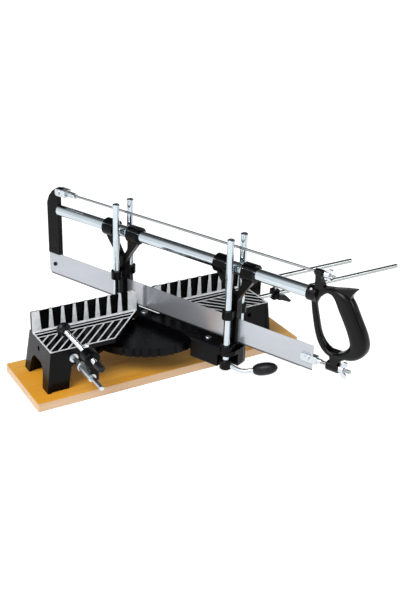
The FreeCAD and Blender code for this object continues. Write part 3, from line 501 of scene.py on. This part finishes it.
# Three rods carry rolled threads: the tension rod above the tube, the pull rod
# at the blade and the clamp screw. Each is a plain shank with a ridge wound on a
# slimmer core wherever a nut runs, so the crests are level with the shank.
CORE_SHARE = 0.90
SHANK_SIDES = 32
RIDGE_SIDES = 6
STEPS_PER_TURN = 20
ROD_ZINC = (0.36, 0.38, 0.39)
ROD_ZINC_FILM = (0.22, 0.24, 0.25)
SCREW_ZINC = (0.72, 0.74, 0.76)
SCREW_ZINC_FILM = (0.45, 0.48, 0.50)
ACROSS_FENCE = math.radians(-90.0)
PLAIN, THREADED = False, True


def rod_along(recipe, radius, length):
    """A round rod of a recipe, from the origin up along Z."""
    rod = recipe.step("GeometryNodeMeshCylinder", {"fill_type": "NGON"},
                      {"Vertices": SHANK_SIDES, "Radius": radius, "Depth": length})
    half = recipe.offset(Z=recipe.sums("MULTIPLY", length, 0.5))
    return recipe.step("GeometryNodeTransform", None, {"Geometry": rod, "Translation": half})


thread = Recipe("rolled_thread", Crest=0.004, Core=0.0035, Pitch=0.00125, Turns=10)
size = thread.sizes
run = thread.sums("MULTIPLY", size["Pitch"], size["Turns"])
core = rod_along(thread, size["Core"], run)
path = thread.step("GeometryNodeCurveSpiral", None,
                   {"Resolution": STEPS_PER_TURN, "Rotations": size["Turns"], "Height": run,
                    "Start Radius": size["Core"], "End Radius": size["Core"]})
ridge_height = thread.sums("SUBTRACT", size["Crest"], size["Core"])
ridge = thread.step("GeometryNodeCurvePrimitiveCircle", {"mode": "RADIUS"},
                    {"Resolution": RIDGE_SIDES, "Radius": ridge_height})
wound = thread.step("GeometryNodeCurveToMesh", None,
                    {"Curve": path, "Profile Curve": ridge, "Fill Caps": True})

shank = Recipe("plain_shank", Radius=0.004, Length=0.01)
stick = rod_along(shank, shank.sizes["Radius"], shank.sizes["Length"])

rod_zinc = drawn_bar("rod_zinc", SAW_TURN, ROD_ZINC, ROD_ZINC_FILM, dull=0.18)
screw_zinc = drawn_bar("screw_zinc", ACROSS_FENCE, SCREW_ZINC, SCREW_ZINC_FILM, dull=0.12)
thread.closes(thread.joined(core, wound), rod_zinc.material)
shank.closes(stick, rod_zinc.material)


def threaded_rod(name, spans, radius, pitch, plating, place):
    """Joins spans, each (start, end, threaded or not), laid along the rod's own Z."""
    mesh = bpy.data.meshes.new(name)
    points, faces = [], []
    for start, end, has_thread in spans:
        if has_thread:
            turns = int((end - start) / pitch)
            span = thread.made(Crest=radius, Core=radius * CORE_SHARE,
                               Pitch=(end - start) / turns, Turns=turns)
        else:
            span = shank.made(Radius=radius, Length=end - start)
        span.transform(Matrix.Translation((0.0, 0.0, start)))
        first = len(points)
        points += [tuple(point.co) for point in span.vertices]
        faces += [tuple(first + point for point in face.vertices) for face in span.polygons]
    mesh.from_pydata(points, [], faces)
    mesh.transform(place)
    mesh.materials.append(plating.material)
    return piece_of(name, mesh)


ALONG_SAW = TURN_TO_BED @ Matrix.Rotation(math.pi / 2, 4, "Y")
TOWARDS_FRONT = Matrix.Rotation(math.pi / 2, 4, "X")
TENSION_Z = 0.2455
TENSION_SPANS = [(-0.178, -0.1735, PLAIN), (-0.1735, -0.148, THREADED), (-0.148, 0.320, PLAIN),
                 (0.320, 0.352, THREADED)]
PULL_Z = 0.1055
PULL_SPANS = [(0.337, 0.345, PLAIN), (0.345, 0.391, THREADED)]
CLAMP_X = -0.162
CLAMP_Z = 0.100
CLAMP_SPANS = [(0.046, 0.052, PLAIN), (0.052, 0.162, THREADED), (0.162, 0.166, PLAIN)]

tension = threaded_rod("tension_rod_threaded", TENSION_SPANS, radius=0.0020, pitch=0.0008,
                       plating=rod_zinc,
                       place=Matrix.Translation((0.0, 0.0, TENSION_Z)) @ ALONG_SAW)
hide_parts("tension_rod")
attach(tension, "saw")

pull = threaded_rod("pull_rod_threaded", PULL_SPANS, radius=0.0030, pitch=0.0010,
                    plating=rod_zinc,
                    place=Matrix.Translation((0.0, 0.0, PULL_Z)) @ ALONG_SAW)
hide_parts("pull_rod")
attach(pull, "saw")

clamp_screw = threaded_rod("clamp_screw_threaded", CLAMP_SPANS, radius=0.0040, pitch=0.00125,
                           plating=screw_zinc,
                           place=Matrix.Translation((CLAMP_X, 0.0, CLAMP_Z)) @ TOWARDS_FRONT)
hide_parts("clamp_screw")
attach(clamp_screw, "clamp_spindle")

# The handle is a light alloy casting with a thick black coat, smooth from the
# mould and a little glossier than the sprayed iron. It fits over the tube's end.
COAT_SHEEN = 0.18
COAT_GLOSS = 0.85
HANDLE_CORNER = 0.0010

coat = Finish("handle_coat", ENAMEL, metal=0.0, rough=0.3, specular_ior_level=COAT_SHEEN)
coat_paint, coat_rough = enamel_on(coat, HANDLE_CORNER)
coat.colour(coat_paint)
coat.rough(coat_rough * COAT_GLOSS)
coat.on("handle")

# The lever grip, the clamp's foot and knob and the stop's wing screw are black
# plastic, moulded round their metal ends. The plastic shows faint flow marks.
MOULDED = (0.006, 0.006, 0.007)
MOULDED_DEEP = (0.005, 0.005, 0.006)
MOULDED_PALE = (0.016, 0.016, 0.018)
FLOW_WIDTH = 0.006
FLOW_DEPTH = 0.00004
MOULDED_CORNER = 0.0006

moulded = Finish("moulded_black", MOULDED, metal=0.0, rough=0.35, specular_ior_level=COAT_SHEEN)
flow = moulded.grain(moulded.place(), FLOW_WIDTH, detail=4.0, rough=0.6)
moulded.rough(0.22 + flow * 0.24)
moulded.relief(flow, FLOW_DEPTH, MOULDED_CORNER)
moulded.colour(moulded.blend(flow.above(0.4, 0.8), MOULDED_DEEP, MOULDED_PALE))
moulded.on("lever_grip", "clamp_pad", "clamp_knob", "stop_wing_screw")

# The floor and the light are a plain white product studio: a pale sweep that
# glows a little, one wide window of light at the left, pale walls, a dim ceiling
# and two softboxes, the stronger one above the front left corner.
FLOOR_SIZE = 30.0
FLOOR_GREY = (0.50, 0.50, 0.50)
FLOOR_GLOW = 0.85
AIR_COLOUR = (0.97, 0.985, 1.0, 1.0)
WINDOW_WAY = (-0.86, -0.48, 0.17)
WINDOW_EDGE = (0.05, 0.75)
WALL_TOP = (0.08, 0.34)
AIR_DIM = 0.06
AIR_BRIGHT = 1.15
AIR_HORIZON = 1.0
LIT_POINT = (0.0, 0.0, 0.1)

bpy.ops.mesh.primitive_plane_add(size=FLOOR_SIZE, location=(0.0, 0.0, 0.0))
floor = bpy.context.object
floor.name = "studio_floor"
sweep = Finish("studio_floor", FLOOR_GREY, metal=0.0, rough=0.8,
               emission_color=(1.0, 1.0, 1.0, 1.0), emission_strength=FLOOR_GLOW)
floor.data.materials.append(sweep.material)

world = bpy.data.worlds.new("studio_air")
bpy.context.scene.world = world
world.use_nodes = True
air = world.node_tree
window = air.nodes.new("ShaderNodeVectorMath")
window.operation = "DOT_PRODUCT"
window.inputs[1].default_value = WINDOW_WAY
sky_way = air.nodes.new("ShaderNodeTexCoord").outputs["Generated"]
air.links.new(sky_way, window.inputs[0])
climb = air.nodes.new("ShaderNodeSeparateXYZ")
air.links.new(sky_way, climb.inputs[0])


def glow(value, start, end, first, last):
    """Light that goes smoothly from first to last as value goes from start to end."""
    node = air.nodes.new("ShaderNodeMapRange")
    node.interpolation_type = "SMOOTHSTEP"
    levels = {"From Min": start, "From Max": end, "To Min": first, "To Max": last}
    for label, level in levels.items():
        node.inputs[label].default_value = level
    air.links.new(value, node.inputs["Value"])
    return node.outputs["Result"]


brighter = air.nodes.new("ShaderNodeMath")
brighter.operation = "MAXIMUM"
air.links.new(glow(window.outputs["Value"], *WINDOW_EDGE, AIR_DIM, AIR_BRIGHT), brighter.inputs[0])
air.links.new(glow(climb.outputs["Z"], *WALL_TOP, AIR_HORIZON, 0.0), brighter.inputs[1])
air.nodes["Background"].inputs["Color"].default_value = AIR_COLOUR
air.links.new(brighter.outputs[0], air.nodes["Background"].inputs["Strength"])


def softbox(name, place, side, power):
    """A square lamp that looks at the saw."""
    light = bpy.data.lights.new(name, "AREA")
    light.shape = "RECTANGLE"
    light.size = side
    light.size_y = side
    light.energy = power
    lamp = bpy.data.objects.new(name, light)
    bpy.context.scene.collection.objects.link(lamp)
    lamp.location = place
    aim = Vector(LIT_POINT) - Vector(place)
    lamp.rotation_euler = aim.to_track_quat("-Z", "Y").to_euler()


softbox("key_softbox", place=(-1.5, -0.6, 1.9), side=1.2, power=42.0)
softbox("fill_softbox", place=(1.6, -1.6, 1.3), side=0.9, power=12.0)

# The camera stands where the photograph was taken from, in front of the bed, to
# its left and above it, and leans by under two degrees.
CAMERA_PLACE = (-0.6611, -1.2875, 0.7959)
CAMERA_AZIMUTH = math.radians(30.55)
CAMERA_ELEVATION = math.radians(25.64)
CAMERA_LEAN = math.radians(1.71)
FOCAL_PIXELS = 959.14
CENTRE_PIXEL = (195.4, 299.6)
PHOTO_SIZE = (401, 601)
SENSOR = 36.0

ahead = Vector((math.sin(CAMERA_AZIMUTH) * math.cos(CAMERA_ELEVATION),
                math.cos(CAMERA_AZIMUTH) * math.cos(CAMERA_ELEVATION),
                -math.sin(CAMERA_ELEVATION)))
level = Vector((math.cos(CAMERA_AZIMUTH), -math.sin(CAMERA_AZIMUTH), 0.0))
upward = level.cross(ahead)
right = level * math.cos(CAMERA_LEAN) + upward * math.sin(CAMERA_LEAN)
up = upward * math.cos(CAMERA_LEAN) - level * math.sin(CAMERA_LEAN)
lens = bpy.data.cameras.new("photo_camera")
lens.sensor_width = SENSOR
lens.lens = FOCAL_PIXELS / PHOTO_SIZE[1] * SENSOR
lens.shift_x = (PHOTO_SIZE[0] / 2 - CENTRE_PIXEL[0]) / PHOTO_SIZE[1]
lens.shift_y = (CENTRE_PIXEL[1] - PHOTO_SIZE[1] / 2) / PHOTO_SIZE[1]
camera = bpy.data.objects.new("photo_camera", lens)
bpy.context.scene.collection.objects.link(camera)
turned = Matrix((right, up, -ahead)).transposed().to_4x4()
turned.translation = Vector(CAMERA_PLACE)
camera.matrix_world = turned
bpy.context.scene.camera = camera
bpy.context.scene.view_settings.view_transform = "Standard"
